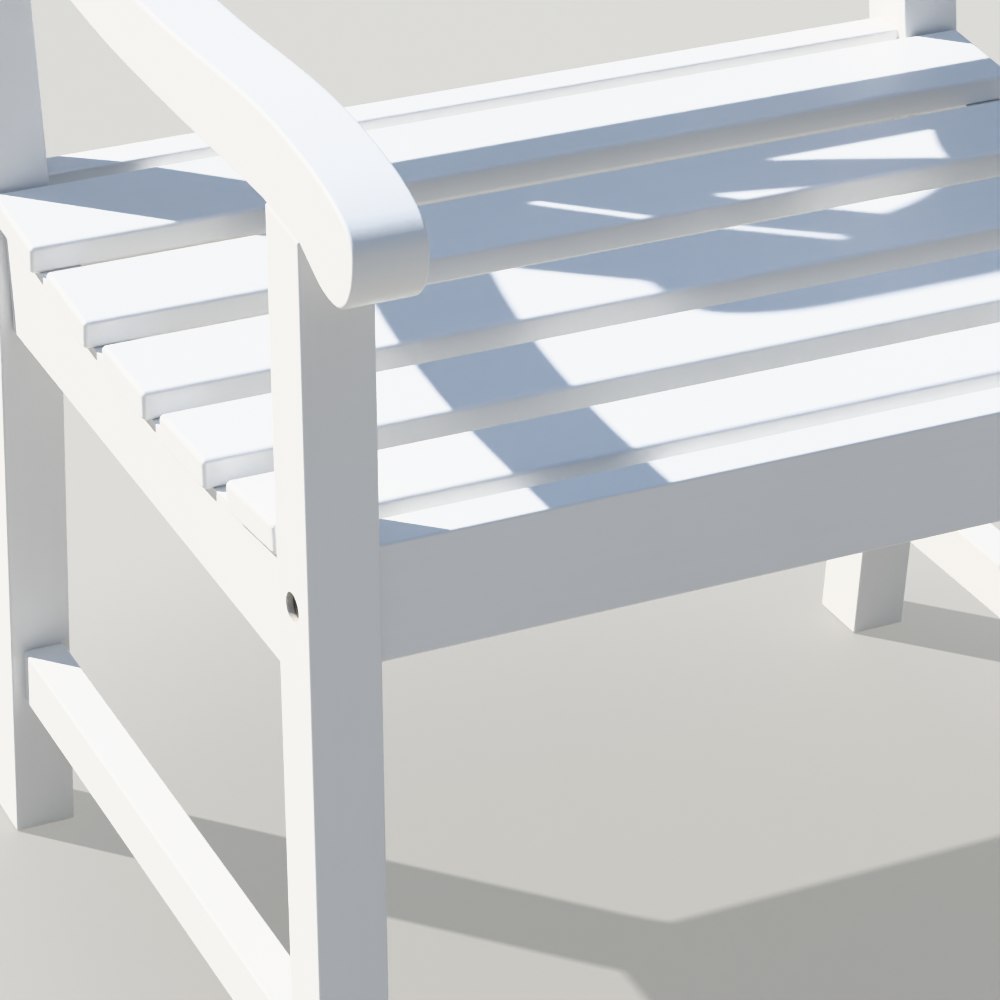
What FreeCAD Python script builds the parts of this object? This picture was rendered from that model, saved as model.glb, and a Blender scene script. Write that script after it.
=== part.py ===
import FreeCAD, Part
import Sketcher
import math
import os

# White painted garden armchair: two side frames (front leg, bent rear leg, dished
# side rail, low stretcher, arm) joined by a front apron, a rear seat rail and a
# leaning back with a cross panel.  Millimetres, +Z up, the sitter faces -Y, the
# origin lies on the floor in the middle of the overall box.

V = FreeCAD.Vector
doc = FreeCAD.newDocument("garden_armchair")

# ---------------------------------------------------------------- dimensions
TABLE = [
    # frame position
    ("front_y", -246.9),            # Y of the reference plane just behind the front legs' front faces
    ("front_half", 310.0),          # half width over the front legs
    ("rear_half", 312.5),           # half width over the rear legs
    ("ease", 1.5),                  # rounding of the long edges
    ("ease_foot", 1.4),             # rounding of the legs' end faces
    ("ease_slat", 2.7),
    ("ease_arm", 1.7),
    # front legs
    ("leg_width", 37.0), ("leg_front", -2.1), ("leg_rear", 37.0),
    ("leg_top_front", 590.4), ("leg_top_rear", 594.7),
    # rear legs
    ("post_width", 37.0), ("post_depth", 45.0),
    ("post_foot_y", 494.0), ("post_bend_y", 456.2), ("post_bend_z", 365.0),
    ("post_bend_round", 160.0),
    # leaning back plane: starts on the post front face at seat height
    ("back_y", 465.2), ("back_z", 435.7), ("back_lean", 7.3),
    ("post_top_v", 393.5),
    # seat
    ("slat_width", 62.0), ("slat_rear_width", 67.2), ("slat_thick", 16.8),
    ("slat_over", 0.4),             # slat ends stand this far past the front legs' outer faces
    ("slat1_y", 71.9), ("slat1_z", 426.9), ("slat1_tilt", -5.2),
    ("slat2_y", 165.2), ("slat2_z", 419.2), ("slat2_tilt", -1.8),
    ("slat3_y", 251.6), ("slat3_z", 419.3), ("slat3_tilt", 0.8),
    ("slat4_y", 340.8), ("slat4_z", 423.0), ("slat4_tilt", 4.4),
    ("slat5_y", 430.0), ("slat5_z", 432.3), ("slat5_tilt", 5.8),
    ("rail_thick", 24.0), ("rail_low", 348.5), ("rail_low_rear", 352.5), ("rail_inset", 5.2), ("rail_relief", 1.8),
    ("apron_low", 366.2), ("apron_high", 429.2), ("apron_thick", 25.1), ("apron_set", 3.0),
    ("rear_rail_low", 372.0), ("rear_rail_high", 437.0), ("rear_rail_y", 474.0),
    ("rear_rail_thick", 24.0),
    # stretchers
    ("stretch_inset", 5.5), ("stretch_thick", 24.8),
    ("stretch_low", 96.5), ("stretch_high", 132.8),
    # arms
    ("arm_width", 36.6),
    # back
    ("back_rail_set", 2.0), ("back_rail_thick", 24.0),
    ("low_rail_v", 121.3), ("low_rail_high", 70.6),
    ("top_rail_v", 418.7), ("top_rail_top", 512.4), ("top_rail_crown", 518.0),
    ("ear_out", 53.5),
    ("panel_set", 5.5), ("panel_thick", 14.5), ("panel_half", 140.0),
    ("back_slat_width", 42.0), ("back_slat_gap", 24.0), ("back_slat_ease", 1.5),
    # fasteners
    ("bolt_dia", 6.0), ("bolt_head", 14.0), ("bolt_head_thick", 5.0),
    ("bolt_bore", 16.0), ("bolt_bore_deep", 8.2), ("bolt_into", 44.0),
    ("bolt_key", 5.0), ("bolt_key_deep", 3.4),
    ("bolt_front_y", 18.0), ("bolt_front_z", 396.0), ("bolt_rear_z", 405.0),
    ("barrel_dia", 10.0), ("barrel_long", 16.0), ("barrel_at", 32.0),
    ("dowel_big", 10.0), ("dowel_mid", 8.0), ("dowel_small", 6.0),
]
sheet = doc.addObject("Spreadsheet::Sheet", "Dims")
for row, (alias, number) in enumerate(TABLE, start=1):
    sheet.set("A%d" % row, alias)
    sheet.set("B%d" % row, str(number))
    sheet.setAlias("B%d" % row, alias)
doc.recompute()


class Dim:
    """A length that carries its value and the sheet expression behind it."""

    def __init__(self, value, text):
        self.v = float(value)
        self.e = text

    def _two(self, other, sign, flip=False):
        o = other if isinstance(other, Dim) else Dim(other, "%.6g" % other)
        a, b = (o, self) if flip else (self, o)
        r = {"+": a.v + b.v, "-": a.v - b.v, "*": a.v * b.v}.get(sign)
        if r is None:
            r = a.v / b.v
        return Dim(r, "(%s %s %s)" % (a.e, sign, b.e))

    def __add__(self, o): return self._two(o, "+")
    def __radd__(self, o): return self._two(o, "+", True)
    def __sub__(self, o): return self._two(o, "-")
    def __rsub__(self, o): return self._two(o, "-", True)
    def __mul__(self, o): return self._two(o, "*")
    def __rmul__(self, o): return self._two(o, "*", True)
    def __truediv__(self, o): return self._two(o, "/")
    def __neg__(self): return Dim(-self.v, "(-%s)" % self.e)


def q(alias):
    return Dim(sheet.get(alias), "Dims." + alias)


def dsin(a): return Dim(math.sin(math.radians(a.v)), "sin(%s)" % a.e)
def dcos(a): return Dim(math.cos(math.radians(a.v)), "cos(%s)" % a.e)
def dtan(a): return Dim(math.tan(math.radians(a.v)), "tan(%s)" % a.e)
def num(x): return x.v if isinstance(x, Dim) else float(x)


FY = q("front_y").v
LEAN = q("back_lean").v
SA, CA = math.sin(math.radians(LEAN)), math.cos(math.radians(LEAN))

# ---------------------------------------------------------------- helpers
pieces = {}          # name -> object that carries the blank
cuts = {}            # name -> list of cutting solids
groups = {}          # name -> list of solids that share one node
made = []            # finished nodes


def plane(body, role):
    for item in body.Origin.OriginFeatures:
        if item.Role == role:
            return item
    raise RuntimeError("no plane " + role)


def new_sketch(body, name, role):
    sk = body.newObject("Sketcher::SketchObject", name)
    sk.AttachmentSupport = [(plane(body, role), "")]
    sk.MapMode = "FlatFace"
    return sk


def pin(sk, geo, x, y):
    for value, kind, axis in ((x, "DistanceX", -2), (y, "DistanceY", -1)):
        if abs(num(value)) < 1e-9:
            sk.addConstraint(Sketcher.Constraint("PointOnObject", geo, 1, axis))
            continue
        c = sk.addConstraint(Sketcher.Constraint(kind, -1, 1, geo, 1, num(value)))
        if isinstance(value, Dim):
            sk.setExpression("Constraints[%d]" % c, value.e)


def polygon(body, name, role, pts):
    """Closed outline of straight lines, every corner pinned to the sheet."""
    sk = new_sketch(body, name, role)
    vec = [V(num(a), num(b), 0) for a, b in pts]
    n = len(pts)
    for i in range(n):
        sk.addGeometry(Part.LineSegment(vec[i], vec[(i + 1) % n]), False)
    for i in range(n):
        sk.addConstraint(Sketcher.Constraint("Coincident", i, 2, (i + 1) % n, 1))
    for i, (a, b) in enumerate(pts):
        pin(sk, i, a, b)
    return sk


def flowing(body, name, role, runs):
    """Closed outline of runs: two points are a line, three an arc, more a smooth curve."""
    sk = new_sketch(body, name, role)
    for run in runs:
        vec = [V(a, b, 0) for a, b in run]
        if len(vec) == 2:
            sk.addGeometry(Part.LineSegment(vec[0], vec[1]), False)
        elif len(vec) == 3:
            sk.addGeometry(Part.Arc(vec[0], vec[1], vec[2]), False)
        else:
            curve = Part.BSplineCurve()
            curve.interpolate(Points=vec)
            sk.addGeometry(curve, False)
    return sk


def pad(body, sk, length, reverse=False):
    p = body.newObject("PartDesign::Pad", "Pad")
    p.Profile = sk
    p.Length = num(length)
    if isinstance(length, Dim):
        p.setExpression("Length", length.e)
    p.Reversed = reverse
    doc.recompute()
    return p


def soften(body, base, radius, want, name="Ease"):
    edges = []
    for i, e in enumerate(base.Shape.Edges, start=1):
        if want(e):
            edges.append("Edge%d" % i)
    f = body.newObject("PartDesign::Fillet", name)
    f.Base = (base, edges)
    f.Radius = radius.v
    f.setExpression("Radius", radius.e)
    body.Tip = f
    doc.recompute()
    return f


def box_of(e):
    b = e.BoundBox
    return b.XMin, b.XMax, b.YMin, b.YMax, b.ZMin, b.ZMax


def along_x(e):
    b = e.BoundBox
    return b.YLength < 1e-4 and b.ZLength < 1e-4


def in_yz(e):
    return e.BoundBox.XLength < 1e-4


def new_body(name):
    body = doc.addObject("PartDesign::Body", name + "_blank")
    body.Label = name + "_blank"
    pieces[name] = body
    cuts[name] = []
    return body


def put(body, x, y, z, rot=None):
    body.Placement = FreeCAD.Placement(V(x, y + FY, z), rot or FreeCAD.Rotation())


def on_back(u, v, n):
    """Point of the leaning back: u across, v up the lean, n behind the post face."""
    return V(u, q("back_y").v + v * SA + n * CA, q("back_z").v + v * CA - n * SA)


def cylinder(name, start, direction, dia, length):
    c = doc.addObject("Part::Cylinder", name)
    c.Radius = num(dia) / 2
    c.Height = num(length)
    if isinstance(dia, Dim):
        c.setExpression("Radius", (dia / 2).e)
    if isinstance(length, Dim):
        c.setExpression("Height", length.e)
    p = V(start)
    p.y += FY
    c.Placement = FreeCAD.Placement(p, FreeCAD.Rotation(V(0, 0, 1), direction))
    return c


def bore(name, start, direction, dia, length):
    cuts[name].append(cylinder("bore", start, direction, dia, length))


def dowel(group, a, b, at, direction, dia, into_a, into_b):
    """A wooden dowel across the face between a and b, with its two blind holes."""
    d = V(direction)
    d.normalize()
    bore(a, at - d * (into_a + 1.0), d, dia, into_a + 1.0)
    bore(b, at, d, dia, into_b + 1.0)
    groups.setdefault(group, []).append(
        cylinder(group + "_one", at - d * into_a, d, dia, into_a + into_b))


def post_front(z):
    """Y of the rear leg's front face at height z."""
    if z < q("post_bend_z").v:
        k = (q("post_foot_y").v - q("post_bend_y").v) / q("post_bend_z").v
        return q("post_bend_y").v + (q("post_bend_z").v - z) * k
    return q("post_bend_y").v + (z - q("post_bend_z").v) * SA / CA


SIDES = (("left", -1.0), ("right", 1.0))


def x_low(side, outer, width):
    """Lower X of a piece of this width whose outer face is at +-outer."""
    return -outer if side < 0 else outer - width


# ---------------------------------------------------------------- front legs
for word, side in SIDES:
    name = "front_leg_" + word
    body = new_body(name)
    d = q("leg_rear") - q("leg_front")
    sk = polygon(body, "Side", "YZ_Plane",
                 [(0, 0), (d, 0), (d, q("leg_top_rear")), (0, q("leg_top_front"))])
    p = pad(body, sk, q("leg_width"))
    f = soften(body, p, q("ease"),
               lambda e: in_yz(e) and e.BoundBox.ZLength > 300)
    f = soften(body, f, q("ease_foot"),
               lambda e: e.BoundBox.ZMax < 0.001, "EaseFoot")
    soften(body, f, q("ease_foot"),
           lambda e: e.BoundBox.ZMin > q("leg_top_front").v - 1.0, "EaseTop")
    put(body, x_low(side, q("front_half").v, q("leg_width").v), q("leg_front").v, 0)

# ---------------------------------------------------------------- rear legs
foot, bend, bz = q("post_foot_y"), q("post_bend_y"), q("post_bend_z")
top_front = on_back(0, q("post_top_v").v, 0)
lean = q("back_lean")
tv = q("post_top_v")
depth = q("post_depth")
base_y = bend - 1.0                       # local zero keeps all corners positive
y_top = q("back_y") + tv * dsin(lean) - base_y
z_top = q("back_z") + tv * dcos(lean)
for word, side in SIDES:
    name = "rear_leg_" + word
    body = new_body(name)
    sk = polygon(body, "Side", "YZ_Plane", [
        (foot - base_y, 0),
        (foot - base_y + depth, 0),
        (bend - base_y + depth, bz),
        (y_top + depth * dcos(lean) * dcos(lean), z_top - depth * dcos(lean) * dsin(lean)),
        (y_top, z_top),
        (bend - base_y, bz)])
    p = pad(body, sk, q("post_width"))
    f = soften(body, p, q("post_bend_round"),
               lambda e: along_x(e) and abs(e.BoundBox.ZMax - bz.v) < 0.01, "Bend")
    f = soften(body, f, q("ease"),
               lambda e: in_yz(e) and e.BoundBox.ZLength > 30, "Ease")
    soften(body, f, q("ease_foot"), lambda e: e.BoundBox.ZMax < 0.001, "EaseFoot")
    put(body, x_low(side, q("rear_half").v, q("post_width").v), base_y.v, 0)

# ---------------------------------------------------------------- seat slats
SLATS = []
for i in range(1, 6):
    w = q("slat_rear_width") if i == 5 else q("slat_width")
    SLATS.append((q("slat%d_y" % i), q("slat%d_z" % i), q("slat%d_tilt" % i), w))
thick = q("slat_thick")
for i, (sy, sz, st, w) in enumerate(SLATS, start=1):
    name = "seat_slat_%d" % i
    body = new_body(name)
    sk = polygon(body, "Section", "YZ_Plane",
                 [(0, 0), (w, 0), (w, thick), (0, thick)])
    p = pad(body, sk, (q("front_half") + q("slat_over")) * 2)
    soften(body, p, q("ease_slat"), lambda e: True)
    s, c = math.sin(math.radians(st.v)), math.cos(math.radians(st.v))
    put(body, -q("front_half").v - q("slat_over").v,
        sy.v - c * w.v / 2 + s * thick.v, sz.v - s * w.v / 2 - c * thick.v,
        FreeCAD.Rotation(V(1, 0, 0), st.v))

# ---------------------------------------------------------------- side rails
rail_top = []
for sy, sz, st, w in SLATS:
    for sign in (-1.0, 1.0):
        y = sy + dsin(st) * thick + dcos(st) * w * (0.5 * sign)
        z = sz - dcos(st) * thick + dsin(st) * w * (0.5 * sign)
        rail_top.append((y, z))
rl, rlr = q("rail_low"), q("rail_low_rear")
d = q("leg_rear")
slope_low = (foot - bend) / bz
rear_end_low = bend + (bz - rlr) * slope_low
# the last seat facet runs on to the post along the lean
ye, ze = rail_top[-1]
rear_end_high = bend + (ze - bz) * dtan(lean)
corner = [(0, rl), (rear_end_low - d, rlr), (bend - d, bz), (rear_end_high - d, ze)]
for y, z in reversed(rail_top):
    if y.v - d.v < rear_end_high.v - d.v - 0.05:
        corner.append((y - d, z))
# the rail falls away under the front edge of the first slat
yf, zf = rail_top[0]
corner[-1] = (yf - d, zf - q("rail_relief"))
corner.append((Dim(0, "0"), zf - q("rail_relief")))
for word, side in SIDES:
    name = "side_rail_" + word
    body = new_body(name)
    sk = polygon(body, "Side", "YZ_Plane", [(a if num(a) else 0, b) for a, b in corner])
    p = pad(body, sk, q("rail_thick"))
    soften(body, p, q("ease"),
           lambda e: in_yz(e) and e.BoundBox.YLength > 300 and e.BoundBox.ZMax < rlr.v + 0.01)
    put(body, x_low(side, q("front_half").v - q("rail_inset").v, q("rail_thick").v), d.v, 0)

# ---------------------------------------------------------------- apron and rear rail
inner_front = q("front_half") - q("leg_width")
body = new_body("front_apron")
sk = polygon(body, "Section", "YZ_Plane",
             [(0, 0), (q("apron_thick"), 0),
              (q("apron_thick"), q("apron_high") - q("apron_low")),
              (0, q("apron_high") - q("apron_low"))])
p = pad(body, sk, inner_front * 2)
soften(body, p, q("ease"), along_x)
put(body, -inner_front.v, q("leg_front").v + q("apron_set").v, q("apron_low").v)

inner_rear = q("rear_half") - q("post_width")
body = new_body("rear_seat_rail")
hh = q("rear_rail_high") - q("rear_rail_low")
sk = polygon(body, "Section", "YZ_Plane",
             [(0, 0), (q("rear_rail_thick"), 0), (q("rear_rail_thick"), hh), (0, hh)])
p = pad(body, sk, inner_rear * 2)
soften(body, p, q("ease"), along_x)
put(body, -inner_rear.v, q("rear_rail_y").v, q("rear_rail_low").v)

# ---------------------------------------------------------------- stretchers
sl, s_hi = q("stretch_low"), q("stretch_high")
for word, side in SIDES:
    name = "side_stretcher_" + word
    body = new_body(name)
    sk = polygon(body, "Side", "YZ_Plane", [
        (0, 0), (bend + (bz - sl) * slope_low - d, 0),
        (bend + (bz - s_hi) * slope_low - d, s_hi - sl), (0, s_hi - sl)])
    p = pad(body, sk, q("stretch_thick"))
    soften(body, p, q("ease"), lambda e: in_yz(e) and e.BoundBox.YLength > 100)
    outer = q("front_half").v - q("stretch_inset").v
    put(body, x_low(side, outer, q("stretch_thick").v), d.v, sl.v)

# ---------------------------------------------------------------- arms
# Side view of the arm: nearly level over the leg, rising to the post, with a
# rolled-down nose in front of the leg.  (Y, Z) in the frame of the front legs.
seat_front = (q("leg_front").v - 1.6, q("leg_top_front").v - 1.6 * 0.11)
seat_rear = (d.v + 2.0, q("leg_top_rear").v + 2.0 * 0.11)
under_nose = [seat_front, (-9.5, 587.4), (-18.2, 583.1), (-28.0, 578.6), (-38.6, 576.4),
              (-49.3, 577.2), (-57.9, 582.8), (-63.5, 592.2), (-65.6, 602.5),
              (-64.6, 611.0), (-60.2, 617.2), (-48.3, 623.8), (-27.6, 629.9), (0.0, 634.6),
              (28.0, 637.4), (56.0, 638.3), (104.0, 637.2), (147.0, 635.9), (188.0, 635.9),
              (249.0, 638.4), (287.0, 641.7), (320.0, 645.2), (354.0, 649.8), (386.0, 655.4),
              (420.0, 662.4), (459.0, 672.0)]
y1 = post_front(681.5)
under_nose.append((y1, 681.5))
y0 = post_front(637.5)
below = [(y0, 637.5), (445.0, 625.6), (403.0, 616.6), (376.0, 611.4), (351.0, 607.4),
         (322.0, 603.6), (288.0, 600.2), (255.0, 597.4), (220.0, 595.8), (189.0, 595.1),
         (148.0, 594.8), (107.0, 594.9), (70.0, 595.1), seat_rear]
for word, side in SIDES:
    name = "armrest_" + word
    body = new_body(name)
    sk = flowing(body, "Side", "YZ_Plane",
                 [under_nose, [under_nose[-1], below[0]], below, [below[-1], under_nose[0]]])
    p = pad(body, sk, q("arm_width"))
    soften(body, p, q("ease_arm"),
           lambda e: in_yz(e) and not (e.BoundBox.YMin > 480))
    put(body, x_low(side, q("front_half").v, q("arm_width").v), 0, 0)

# ---------------------------------------------------------------- back rails
back_rot = FreeCAD.Rotation(V(1, 0, 0), -LEAN)


def put_back(body, u, v, n):
    p = on_back(u, v, n)
    body.Placement = FreeCAD.Placement(V(p.x, p.y + FY, p.z), back_rot)


rs, rt = q("back_rail_set"), q("back_rail_thick")
body = new_body("back_bottom_rail")
sk = polygon(body, "Section", "YZ_Plane",
             [(0, 0), (rt, 0), (rt, q("low_rail_high")), (0, q("low_rail_high"))])
p = pad(body, sk, inner_rear * 2)
soften(body, p, q("ease"), along_x)
put_back(body, -inner_rear.v, q("low_rail_v").v, rs.v)

# Top rail: seated on the post tops, arched between them, with ears past the posts.
v_seat = q("post_top_v").v
v_mid = q("top_rail_v").v
v_top = q("top_rail_top").v
v_crown = q("top_rail_crown").v
rh = q("rear_half").v
ear = q("ear_out").v
inner = inner_rear.v


def mirror(run):
    return [(-a, b) for a, b in reversed(run)]


ear_low = [(rh + 1.5, v_seat), (rh + 14.0, v_seat + 14.0), (rh + 28.0, v_seat + 31.5),
           (rh + 41.0, v_seat + 51.0), (rh + ear - 3.5, v_seat + 69.0), (rh + ear, v_seat + 82.0),
           (rh + ear - 1.5, v_seat + 95.0), (rh + ear - 7.5, v_top - 13.5),
           (rh + ear - 18.0, v_top - 5.6), (rh + ear - 33.5, v_top - 1.9),
           (rh + ear - 55.5, v_top - 0.3)]
crown = [(240.0, v_top + 0.9), (160.0, v_top + 2.9), (80.0, v_crown - 0.8),
         (0.0, v_crown), (-80.0, v_crown - 0.8), (-160.0, v_top + 2.9), (-240.0, v_top + 0.9)]
drop = v_mid - v_seat
block = inner - 3.0
turn = drop * math.sqrt(0.5)
shoulder = [(block, v_seat), (block - drop + turn, v_seat + turn), (block - drop, v_mid)]
body = new_body("back_top_rail")
runs = [ear_low + crown + mirror(ear_low),
        [(-rh - 1.5, v_seat), (-block, v_seat)],
        mirror(shoulder)[::-1],
        [(-block + drop, v_mid), (block - drop, v_mid)],
        shoulder[::-1],
        [(block, v_seat), (rh + 1.5, v_seat)]]
sk = flowing(body, "Front", "XZ_Plane", runs)
p = pad(body, sk, rt, True)
soften(body, p, q("ease"),
       lambda e: e.BoundBox.YLength < 1e-4 and e.BoundBox.ZMax > v_seat + 0.5)
put_back(body, 0, 0, rs.v)

# ---------------------------------------------------------------- back slats and cross
v0 = q("low_rail_v").v + q("low_rail_high").v
pset, pth = q("panel_set"), q("panel_thick")
ph = q("panel_half").v
bw, bg = q("back_slat_width"), q("back_slat_gap")
slat_u = [-(ph + 2 * bw.v + bg.v), -(ph + bw.v), ph, ph + bw.v + bg.v]
slat_long = q("top_rail_v") - q("low_rail_v") - q("low_rail_high")
for i, u in enumerate(slat_u, start=1):
    name = "back_slat_%d" % i
    body = new_body(name)
    sk = polygon(body, "Front", "XZ_Plane", [(0, 0), (bw, 0), (bw, slat_long), (0, slat_long)])
    p = pad(body, sk, pth, True)
    soften(body, p, q("back_slat_ease"),
           lambda e: e.BoundBox.ZLength > 100)
    put_back(body, u, v0, pset.v)

mid = (v0 + v_mid) / 2
hv = (v_mid - v0) / 2
upper_edge = [(-88.0, hv), (-58.0, 84.0), (-28.0, 54.5), (0.0, 24.0), (23.0, 0.0),
              (58.0, -25.5), (96.0, -48.0), (120.0, -59.0), (ph, -66.0)]


def cross_runs(flip):
    k = -1.0 if flip else 1.0
    low = [(-a, -b) for a, b in upper_edge]
    runs = [upper_edge, [(ph, -66.0), (ph, -hv)], [(ph, -hv), (88.0, -hv)],
            low, [(-ph, 66.0), (-ph, hv)], [(-ph, hv), (-88.0, hv)]]
    return [[(k * a, b + mid) for a, b in run] for run in runs]


half = pth / 2
for name, flip in (("cross_bar_front", False), ("cross_bar_rear", True)):
    body = new_body(name)
    sk = flowing(body, "Front", "XZ_Plane", cross_runs(flip))
    p = pad(body, sk, pth, True)
    soften(body, p, q("back_slat_ease"),
           lambda e: e.BoundBox.YLength < 1e-4 and e.BoundBox.ZLength > 100)
    put_back(body, 0, 0, pset.v)
    # the other bar's half of the lap
    other = doc.addObject("PartDesign::Body", name + "_lap")
    sk = flowing(other, "Lap", "XZ_Plane", cross_runs(not flip))
    p = pad(other, sk, half, True)
    put_back(other, 0, 0, pset.v + (half.v if not flip else 0.0))
    # only the crossing itself is lapped
    cuts[name].append(other)

# ---------------------------------------------------------------- dowels
X, Y, Z = V(1, 0, 0), V(0, 1, 0), V(0, 0, 1)
N = V(0, CA, -SA)
U = V(0, SA, CA)
big, middle, small = q("dowel_big"), q("dowel_mid"), q("dowel_small")
fh = q("front_half").v
for word, side in SIDES:
    xr = side * (fh - 16.0)
    rail, fl, rlg = "side_rail_" + word, "front_leg_" + word, "rear_leg_" + word
    for z in (371.0, 406.0):
        dowel("rail_dowels", fl, rail, V(xr, d.v, z), Y, middle, 20.0, 24.0)
    dowel("rail_dowels", rail, rlg, V(xr, post_front(377.0), 377.0), Y, middle, 24.0, 20.0)
    dowel("rail_dowels", rail, rlg, V(xr, post_front(402.0), 402.0), Y, middle, 17.0, 20.0)
    xs = side * (fh - q("stretch_inset").v - q("stretch_thick").v / 2)
    zs = (sl.v + s_hi.v) / 2
    st = "side_stretcher_" + word
    dowel("stretcher_dowels", fl, st, V(xs, d.v, zs), Y, big, 20.0, 24.0)
    dowel("stretcher_dowels", st, rlg, V(xs, post_front(zs), zs), Y, big, 24.0, 24.0)
    arm = "armrest_" + word
    xa = side * (fh - q("arm_width").v / 2)
    dowel("arm_dowels", fl, arm, V(xa, (q("leg_front").v + d.v) / 2, (q("leg_top_front").v + q("leg_top_rear").v) / 2),
          Z, big, 30.0, 22.0)
    dowel("arm_dowels", arm, rlg, V(xa, post_front(659.0), 659.0), N, big, 30.0, 26.0)
    xd = side * (fh - 12.0)
    for i, (sy, sz, stl, w) in enumerate(SLATS, start=1):
        s, c = math.sin(math.radians(stl.v)), math.cos(math.radians(stl.v))
        at = V(xd, sy.v + s * thick.v, sz.v - c * thick.v)
        dowel("slat_dowels", rail, "seat_slat_%d" % i, at, V(0, -s, c), middle, 16.0, 10.0)
    for du in (-9.0, 9.0):
        at = on_back(side * (rh - q("post_width").v / 2) + du, v_seat, rs.v + rt.v / 2)
        dowel("top_rail_dowels", rlg, "back_top_rail", at, U, big, 26.0, 30.0)
pn = pset.v + pth.v / 2
for i, u in enumerate(slat_u, start=1):
    uc = u + bw.v / 2
    name = "back_slat_%d" % i
    dowel("back_slat_dowels", "back_bottom_rail", name, on_back(uc, v0, pn), U, small, 16.0, 16.0)
    dowel("back_slat_dowels", name, "back_top_rail", on_back(uc, v_mid, pn), U, small, 16.0, 16.0)
for name, k in (("cross_bar_front", 1.0), ("cross_bar_rear", -1.0)):
    dowel("cross_bar_dowels", "back_bottom_rail", name, on_back(k * 116.0, v0, pn), U, small, 16.0, 16.0)
    dowel("cross_bar_dowels", name, "back_top_rail", on_back(-k * 116.0, v_mid, pn), U, small, 16.0, 16.0)

# ---------------------------------------------------------------- bolts and barrel nuts
bd = q("bolt_dia")
deep = q("bolt_bore_deep").v


def bolt(leg, rail, side, outer, width, at, barrel_dir, barrel_open):
    """A socket-headed bolt through a leg into a cross-drilled barrel nut in the rail end."""
    inward = V(-side, 0, 0)
    start = V(side * outer, at.y, at.z)
    bore(leg, start - inward * 2.0, inward, q("bolt_bore"), deep + 2.0)
    bore(leg, start, inward, bd, width + 1.0)
    joint = start + inward * width
    into = q("bolt_into").v
    bore(rail, joint - inward * 1.0, inward, bd, into + 3.0)
    centre = joint + inward * q("barrel_at").v
    bl = q("barrel_long").v
    bore(rail, centre - barrel_dir * (bl / 2), barrel_dir, q("barrel_dia"), bl / 2 + barrel_open)
    seat = start + inward * deep
    head = cylinder("bolt_head", seat - inward * q("bolt_head_thick").v, inward,
                    q("bolt_head"), q("bolt_head_thick"))
    shank = cylinder("bolt_shank", seat, inward, bd, width - deep + into)
    both = doc.addObject("Part::Fuse", "bolt")
    both.Base, both.Tool = head, shank
    key = doc.addObject("Part::Prism", "bolt_key")
    key.Polygon = 6
    key.Circumradius = q("bolt_key").v / math.sqrt(3.0)
    key.setExpression("Circumradius", (q("bolt_key") / 1.7320508).e)
    key.Height = q("bolt_key_deep").v + 1.0
    ks = seat - inward * (q("bolt_head_thick").v + 1.0)
    key.Placement = FreeCAD.Placement(V(ks.x, ks.y + FY, ks.z), FreeCAD.Rotation(Z, inward))
    whole = doc.addObject("Part::Cut", "bolt_whole")
    whole.Base, whole.Tool = both, key
    groups.setdefault("frame_bolts", []).append(whole)
    nut = cylinder("barrel", centre - barrel_dir * (bl / 2), barrel_dir, q("barrel_dia"), q("barrel_long"))
    thread = cylinder("barrel_thread", centre - inward * 20.0, inward, bd, 40.0)
    barrel = doc.addObject("Part::Cut", "barrel_whole")
    barrel.Base, barrel.Tool = nut, thread
    groups.setdefault("barrel_nuts", []).append(barrel)


for word, side in SIDES:
    bolt("front_leg_" + word, "front_apron", side, fh, q("leg_width").v,
         V(0, q("bolt_front_y").v, q("bolt_front_z").v), Y, 10.0)
    rear_mid = q("rear_rail_y").v + q("rear_rail_thick").v / 2
    bolt("rear_leg_" + word, "rear_seat_rail", side, rh, q("post_width").v,
         V(0, rear_mid, q("bolt_rear_z").v), Y, 13.0)
    at = on_back(0, q("low_rail_v").v + q("low_rail_high").v / 2, rs.v + rt.v / 2)
    bolt("rear_leg_" + word, "back_bottom_rail", side, rh, q("post_width").v, at, N, 13.0)

# ---------------------------------------------------------------- finished nodes
doc.recompute()
for name, blank in pieces.items():
    if cuts[name]:
        tool = doc.addObject("Part::MultiFuse", name + "_bores")
        tool.Shapes = cuts[name]
        if len(cuts[name]) == 1:
            doc.removeObject(tool.Name)
            tool = cuts[name][0]
        done = doc.addObject("Part::Cut", name)
        done.Base, done.Tool = blank, tool
    else:
        done = blank
    done.Label = name
    made.append(done)
for name, solids in groups.items():
    done = doc.addObject("Part::Compound", name)
    done.Links = solids
    done.Label = name
    made.append(done)
doc.recompute()

# ---------------------------------------------------------------- checks and export
bad = [o.Label for o in doc.Objects if "Invalid" in o.State or "Error" in o.State]
if bad:
    raise RuntimeError("failed objects: " + ", ".join(bad))
for o in made:
    if o.Shape.isNull() or not o.Shape.isValid():
        raise RuntimeError("bad shape: " + o.Label)
    want = len(groups[o.Label]) if o.Label in groups else 1
    if len(o.Shape.Solids) != want:
        raise RuntimeError("%s has %d solids: %s" % (o.Label, len(o.Shape.Solids), "; ".join("%.1f at %s" % (k.Volume, k.BoundBox) for k in o.Shape.Solids)))
os.makedirs("parts", exist_ok=True)
whole = None
for o in made:
    o.Shape.exportStep("parts/%s.step" % o.Label)
    b = o.Shape.BoundBox
    whole = FreeCAD.BoundBox(b) if whole is None else whole
    whole.add(b)
    print("%-22s %2d solid  %9.1f mm3  %s" % (o.Label, len(o.Shape.Solids), o.Shape.Volume,
          " ".join("%.1f" % t for t in (b.XMin, b.XMax, b.YMin, b.YMax, b.ZMin, b.ZMax))))
print("all", " ".join("%.2f" % t for t in (whole.XMin, whole.XMax, whole.YMin, whole.YMax,
                                           whole.ZMin, whole.ZMax)))
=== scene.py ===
import math

import bpy
from mathutils import Matrix, Vector

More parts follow.
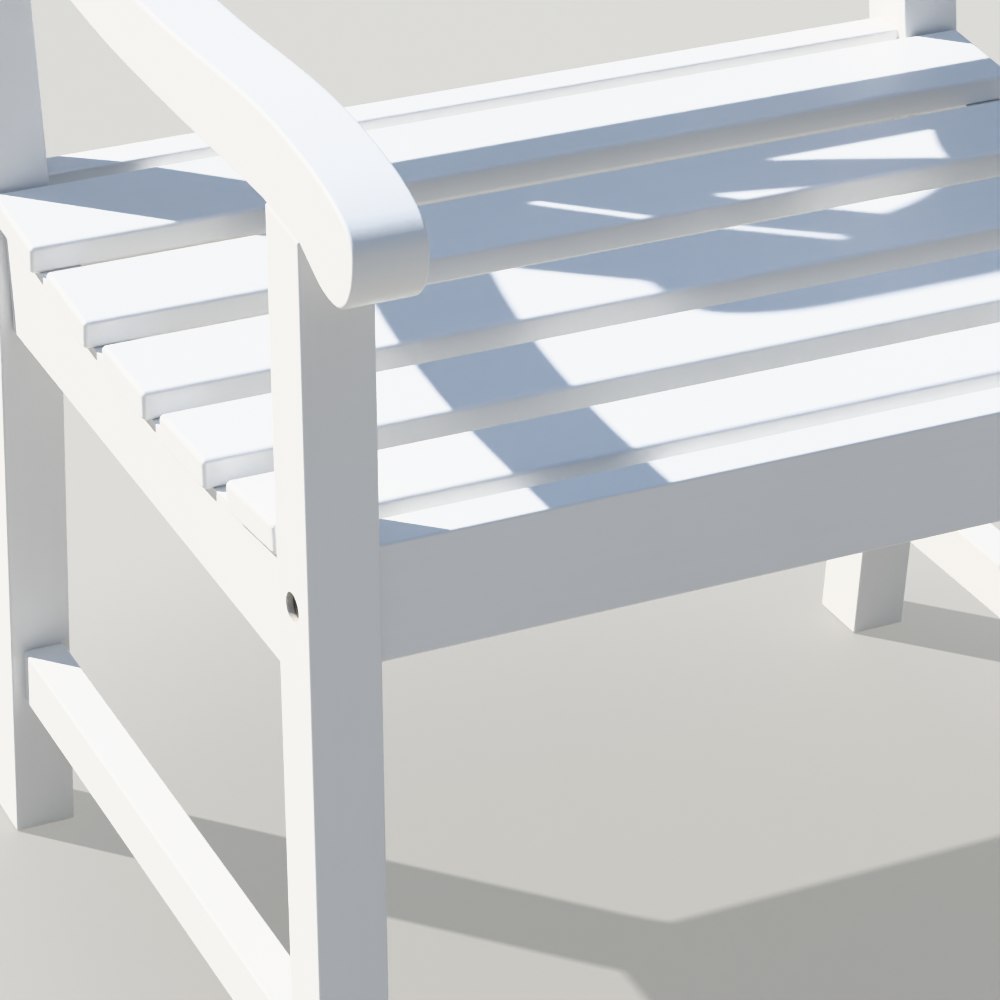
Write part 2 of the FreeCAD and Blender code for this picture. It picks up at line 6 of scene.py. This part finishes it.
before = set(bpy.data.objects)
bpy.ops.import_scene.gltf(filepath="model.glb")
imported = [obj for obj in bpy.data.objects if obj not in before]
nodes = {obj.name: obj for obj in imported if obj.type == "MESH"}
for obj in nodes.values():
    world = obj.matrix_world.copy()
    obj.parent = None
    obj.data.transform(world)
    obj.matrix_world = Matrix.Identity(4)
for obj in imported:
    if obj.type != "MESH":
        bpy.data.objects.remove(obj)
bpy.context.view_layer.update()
scene = bpy.context.scene

# ---------------------------------------------------------------- camera
# The photograph's viewpoint, in the chair's own frame, for a square picture.
cam_data = bpy.data.cameras.new("photo_camera")
cam_data.sensor_fit = "HORIZONTAL"
cam_data.sensor_width = 36.0
cam_data.lens = 138.468
cam_data.clip_start = 0.05
cam_data.clip_end = 200.0
cam = bpy.data.objects.new("photo_camera", cam_data)
scene.collection.objects.link(cam)
right = Vector((0.908969, -0.416856, -0.002569))
up = Vector((0.194011, 0.417576, 0.887688))
back = Vector((-0.368965, -0.807379, 0.460438))
place = Matrix((
    (right.x, up.x, back.x, -0.875952),
    (right.y, up.y, back.y, -1.701525),
    (right.z, up.z, back.z, 1.269481),
    (0.0, 0.0, 0.0, 1.0),
))
cam.matrix_world = place
scene.camera = cam
scene.view_settings.view_transform = "Khronos PBR Neutral"
scene.view_settings.look = "None"


# ---------------------------------------------------------------- node helpers
def new_material(name):
    mat = bpy.data.materials.new(name)
    mat.use_nodes = True
    tree = mat.node_tree
    tree.nodes.clear()
    out = tree.nodes.new("ShaderNodeOutputMaterial")
    shader = tree.nodes.new("ShaderNodeBsdfPrincipled")
    tree.links.new(shader.outputs["BSDF"], out.inputs["Surface"])
    return mat, tree, shader


def math_node(tree, op, a, b):
    node = tree.nodes.new("ShaderNodeMath")
    node.operation = op
    for i, v in enumerate((a, b)):
        if isinstance(v, (int, float)):
            node.inputs[i].default_value = v
        else:
            tree.links.new(v, node.inputs[i])
    return node.outputs[0]


def remap(tree, value, lo, hi, to_lo, to_hi):
    node = tree.nodes.new("ShaderNodeMapRange")
    node.inputs["From Min"].default_value = lo
    node.inputs["From Max"].default_value = hi
    node.inputs["To Min"].default_value = to_lo
    node.inputs["To Max"].default_value = to_hi
    tree.links.new(value, node.inputs["Value"])
    return node.outputs["Result"]


def blend_colour(tree, factor, a, b):
    node = tree.nodes.new("ShaderNodeMix")
    node.data_type = "RGBA"
    tree.links.new(factor, node.inputs[0])
    for i, c in ((6, a), (7, b)):
        if isinstance(c, tuple):
            node.inputs[i].default_value = (*c, 1.0)
        else:
            tree.links.new(c, node.inputs[i])
    return node.outputs[2]


def streaks(tree, coords, turn, along, across, detail, seed):
    """Noise drawn out along a piece's grain; turn is the rotation that lays the grain on X."""
    turned = tree.nodes.new("ShaderNodeMapping")
    turned.inputs["Rotation"].default_value = turn
    tree.links.new(coords, turned.inputs["Vector"])
    mapping = tree.nodes.new("ShaderNodeMapping")
    mapping.inputs["Scale"].default_value = (along, across, across)
    tree.links.new(turned.outputs["Vector"], mapping.inputs["Vector"])
    noise = tree.nodes.new("ShaderNodeTexNoise")
    noise.noise_dimensions = "4D"
    noise.inputs["Scale"].default_value = 1.0
    noise.inputs["Detail"].default_value = detail
    noise.inputs["Roughness"].default_value = 0.55
    tree.links.new(mapping.outputs["Vector"], noise.inputs["Vector"])
    tree.links.new(seed, noise.inputs["W"])
    return noise.outputs["Fac"]


def spots(tree, coords, scale, detail, seed):
    noise = tree.nodes.new("ShaderNodeTexNoise")
    noise.noise_dimensions = "4D"
    noise.inputs["Scale"].default_value = scale
    noise.inputs["Detail"].default_value = detail
    tree.links.new(coords, noise.inputs["Vector"])
    tree.links.new(seed, noise.inputs["W"])
    return noise.outputs["Fac"]


def bump(tree, height, distance, strength, under=None):
    node = tree.nodes.new("ShaderNodeBump")
    node.inputs["Strength"].default_value = strength
    node.inputs["Distance"].default_value = distance
    tree.links.new(height, node.inputs["Height"])
    if under is not None:
        tree.links.new(under, node.inputs["Normal"])
    return node.outputs["Normal"]


# ---------------------------------------------------------------- white paint over wood
def paint(name, turn, bores=(), face=0.0):
    """Satin white paint, brushed along the grain, with the grain showing faintly through, and painted shade: a mottled
    grey darkening in corners and creases.

    bores lists the (y, z) axes of counterbores in the faces at x = +face and -face: past the first millimetre or so
    their walls are painted grey, as painted shade inside the recess.
    """
    mat, tree, shader = new_material(name)
    coords = tree.nodes.new("ShaderNodeTexCoord").outputs["Object"]
    seed = math_node(tree, "MULTIPLY", tree.nodes.new("ShaderNodeObjectInfo").outputs["Random"], 40.0)

    grain = streaks(tree, coords, turn, 7.0, 190.0, 4.0, seed)
    brush = streaks(tree, coords, turn, 4.0, 950.0, 2.0, seed)
    cloud = spots(tree, coords, 9.0, 3.0, seed)
    peel = spots(tree, coords, 520.0, 2.0, seed)

    tone = math_node(tree, "ADD", math_node(tree, "MULTIPLY", cloud, 0.7), math_node(tree, "MULTIPLY", grain, 0.3))
    base = blend_colour(tree, remap(tree, tone, 0.32, 0.68, 0.0, 1.0), (0.878, 0.876, 0.869), (0.908, 0.906, 0.900))

    # Painted shade: ambient occlusion mixes a grey into the paint in corners, creases and joints, mottled by the cloud
    # noise like dust.
    crease = tree.nodes.new("ShaderNodeAmbientOcclusion")
    crease.samples = 8
    crease.inputs["Distance"].default_value = 0.009
    crease_shade = remap(tree, crease.outputs["AO"], 0.25, 0.65, 0.30, 0.0)
    dust_and_crease_shade = math_node(tree, "MULTIPLY", crease_shade, remap(tree, cloud, 0.35, 0.65, 0.5, 1.0))
    base = blend_colour(tree, dust_and_crease_shade, base, (0.52, 0.52, 0.51))

    rough = remap(tree, brush, 0.3, 0.7, 0.36, 0.50)
    # Painted shade: counterbore walls below the white rim are painted a warm grey to stand for the shade inside the
    # recess.
    if bores:
        place = tree.nodes.new("ShaderNodeSeparateXYZ")
        tree.links.new(coords, place.inputs[0])
        depth = math_node(tree, "SUBTRACT", face, math_node(tree, "ABSOLUTE", place.outputs["X"], 0.0))
        lip = remap(tree, peel, 0.3, 0.7, 0.0003, 0.0012)
        bore_shade_mask = math_node(tree, "MULTIPLY", math_node(tree, "GREATER_THAN", depth, lip), math_node(tree, "LESS_THAN", depth, 0.012))
        near = None
        for y, z in bores:
            dy = math_node(tree, "SUBTRACT", place.outputs["Y"], y)
            dz = math_node(tree, "SUBTRACT", place.outputs["Z"], z)
            off = math_node(tree, "SQRT", math_node(tree, "ADD", math_node(tree, "MULTIPLY", dy, dy), math_node(tree, "MULTIPLY", dz, dz)), 0.0)
            hit = math_node(tree, "LESS_THAN", off, 0.0083)
            near = hit if near is None else math_node(tree, "MAXIMUM", near, hit)
        bore_shade_mask = math_node(tree, "MULTIPLY", bore_shade_mask, near)
        bore_shade_grey = blend_colour(tree, remap(tree, peel, 0.35, 0.65, 0.0, 1.0), (0.64, 0.615, 0.57), (0.74, 0.715, 0.67))
        base = blend_colour(tree, bore_shade_mask, base, bore_shade_grey)
        rough = math_node(tree, "MAXIMUM", rough, math_node(tree, "MULTIPLY", bore_shade_mask, 0.75))

    tree.links.new(base, shader.inputs["Base Color"])
    tree.links.new(rough, shader.inputs["Roughness"])
    normal = bump(tree, grain, 0.00030, 0.35)
    normal = bump(tree, brush, 0.00012, 0.30, normal)
    normal = bump(tree, peel, 0.00012, 0.25, normal)
    tree.links.new(normal, shader.inputs["Normal"])
    shader.inputs["IOR"].default_value = 1.48
    shader.inputs["Specular IOR Level"].default_value = 0.5
    return mat


paint_x = paint("white_paint_across", (0.0, 0.0, 0.0))
paint_y = paint("white_paint_fore_aft", (0.0, 0.0, math.radians(-90)))
paint_z = paint("white_paint_upright", (0.0, math.radians(90), 0.0))
paint_front = paint("white_paint_front_leg", (0.0, math.radians(90), 0.0), [(-0.2289, 0.3960)], 0.3100)
paint_rear = paint("white_paint_rear_leg", (0.0, math.radians(90), 0.0), [(0.2391, 0.4050), (0.2521, 0.5893)], 0.3125)
paint_rise = paint("white_paint_cross_rising", (0.0, math.radians(39), 0.0))
paint_fall = paint("white_paint_cross_falling", (0.0, math.radians(-39), 0.0))


# ---------------------------------------------------------------- bare beech of the dowels
def beech():
    mat, tree, shader = new_material("bare_beech")
    coords = tree.nodes.new("ShaderNodeTexCoord").outputs["Object"]
    seed = math_node(tree, "MULTIPLY", tree.nodes.new("ShaderNodeObjectInfo").outputs["Random"], 40.0)
    grain = streaks(tree, coords, (0.0, 0.0, 0.0), 60.0, 900.0, 4.0, seed)
    fleck = spots(tree, coords, 1600.0, 2.0, seed)
    base = blend_colour(tree, remap(tree, grain, 0.3, 0.7, 0.0, 1.0), (0.40, 0.25, 0.13), (0.58, 0.40, 0.23))
    base = blend_colour(tree, remap(tree, fleck, 0.58, 0.70, 0.0, 0.5), base, (0.27, 0.15, 0.07))
    tree.links.new(base, shader.inputs["Base Color"])
    tree.links.new(remap(tree, grain, 0.3, 0.7, 0.55, 0.75), shader.inputs["Roughness"])
    tree.links.new(bump(tree, grain, 0.0001, 0.4), shader.inputs["Normal"])
    return mat


# ---------------------------------------------------------------- zinc-plated bolts and barrel nuts
def zinc():
    mat, tree, shader = new_material("zinc_steel")
    coords = tree.nodes.new("ShaderNodeTexCoord").outputs["Object"]
    seed = math_node(tree, "MULTIPLY", tree.nodes.new("ShaderNodeObjectInfo").outputs["Random"], 40.0)
    patch = spots(tree, coords, 420.0, 3.0, seed)
    fine = spots(tree, coords, 2600.0, 2.0, seed)
    base = blend_colour(tree, remap(tree, patch, 0.35, 0.65, 0.0, 1.0), (0.17, 0.165, 0.155), (0.30, 0.295, 0.28))
    tree.links.new(base, shader.inputs["Base Color"])
    shader.inputs["Metallic"].default_value = 1.0
    tree.links.new(remap(tree, patch, 0.3, 0.7, 0.30, 0.48), shader.inputs["Roughness"])
    tree.links.new(bump(tree, fine, 0.00006, 0.35), shader.inputs["Normal"])
    return mat


wood = beech()
metal = zinc()

along = {
    "front_leg": paint_front, "rear_leg": paint_rear, "back_slat": paint_z,
    "seat_slat": paint_x, "front_apron": paint_x, "rear_seat_rail": paint_x, "back_bottom_rail": paint_x, "back_top_rail": paint_x,
    "side_rail": paint_y, "side_stretcher": paint_y, "armrest": paint_y,
    "cross_bar_front": paint_rise, "cross_bar_rear": paint_fall,
}


def finish_of(name):
    if name.endswith("dowels"):
        return wood
    if name in ("frame_bolts", "barrel_nuts"):
        return metal
    for start, mat in along.items():
        if name.startswith(start):
            return mat
    raise ValueError(name)


for name, obj in nodes.items():
    obj.data.materials.clear()
    obj.data.materials.append(finish_of(name))

# ---------------------------------------------------------------- floor
floor_mesh = bpy.data.meshes.new("studio_floor")
half = 60.0
floor_mesh.from_pydata([(-half, -half, 0), (half, -half, 0), (half, half, 0), (-half, half, 0)], [], [(0, 1, 2, 3)])
floor = bpy.data.objects.new("studio_floor", floor_mesh)
scene.collection.objects.link(floor)
floor.location.z = -0.0002
pale, tree, shader = new_material("pale_floor")
coords = tree.nodes.new("ShaderNodeTexCoord").outputs["Object"]
haze = tree.nodes.new("ShaderNodeTexNoise")
haze.inputs["Scale"].default_value = 3.0
tree.links.new(coords, haze.inputs["Vector"])
tree.links.new(blend_colour(tree, haze.outputs["Fac"], (0.147, 0.146, 0.144), (0.153, 0.152, 0.150)), shader.inputs["Base Color"])
shader.inputs["Emission Color"].default_value = (1.0, 0.982, 0.918, 1.0)
# painted shade: the floor's glow is dimmed where the seat stands over it, a painted shadow under the chair
where = tree.nodes.new("ShaderNodeSeparateXYZ")
tree.links.new(coords, where.inputs[0])
away = math_node(tree, "ADD", math_node(tree, "MULTIPLY", where.outputs["X"], where.outputs["X"]),
                 math_node(tree, "MULTIPLY", where.outputs["Y"], where.outputs["Y"]))
floor_glow_with_painted_shade = tree.nodes.new("ShaderNodeMapRange")
floor_glow_with_painted_shade.interpolation_type = "SMOOTHSTEP"
floor_glow_with_painted_shade.inputs["From Min"].default_value = 0.0
floor_glow_with_painted_shade.inputs["From Max"].default_value = 0.36
floor_glow_with_painted_shade.inputs["To Min"].default_value = 0.34
floor_glow_with_painted_shade.inputs["To Max"].default_value = 0.48
tree.links.new(away, floor_glow_with_painted_shade.inputs["Value"])
tree.links.new(floor_glow_with_painted_shade.outputs["Result"], shader.inputs["Emission Strength"])
shader.inputs["Roughness"].default_value = 0.9
shader.inputs["Specular IOR Level"].default_value = 0.1
floor_mesh.materials.append(pale)

# ---------------------------------------------------------------- light
# A soft key from behind, on the chair's left and above, and an even, slightly cool fill.
key_data = bpy.data.lights.new("key", "SUN")
key_data.energy = 6.5
key_data.angle = math.radians(0.75)
key_data.color = (1.0, 0.957, 0.895)
key = bpy.data.objects.new("key", key_data)
scene.collection.objects.link(key)
key.rotation_mode = "QUATERNION"
key.rotation_quaternion = Vector((0.745, -0.702, -1.0)).to_track_quat("-Z", "Y")

world = bpy.data.worlds.new("soft_fill")
scene.world = world
world.use_nodes = True
tree = world.node_tree
sky = tree.nodes["Background"]
sky.inputs["Strength"].default_value = 1.0
direction = tree.nodes.new("ShaderNodeTexCoord").outputs["Generated"]
split = tree.nodes.new("ShaderNodeSeparateXYZ")
tree.links.new(direction, split.inputs[0])
height = remap(tree, split.outputs["Z"], 0.0, 1.0, 0.0, 1.0)
overhead = math_node(tree, "MULTIPLY", height, height)
fill = blend_colour(tree, overhead, (0.05, 0.05, 0.05), (0.595, 0.79, 1.10))
behind = tree.nodes.new("ShaderNodeLightPath").outputs["Is Camera Ray"]
tree.links.new(blend_colour(tree, behind, fill, (0.785, 0.776, 0.75)), sky.inputs["Color"])
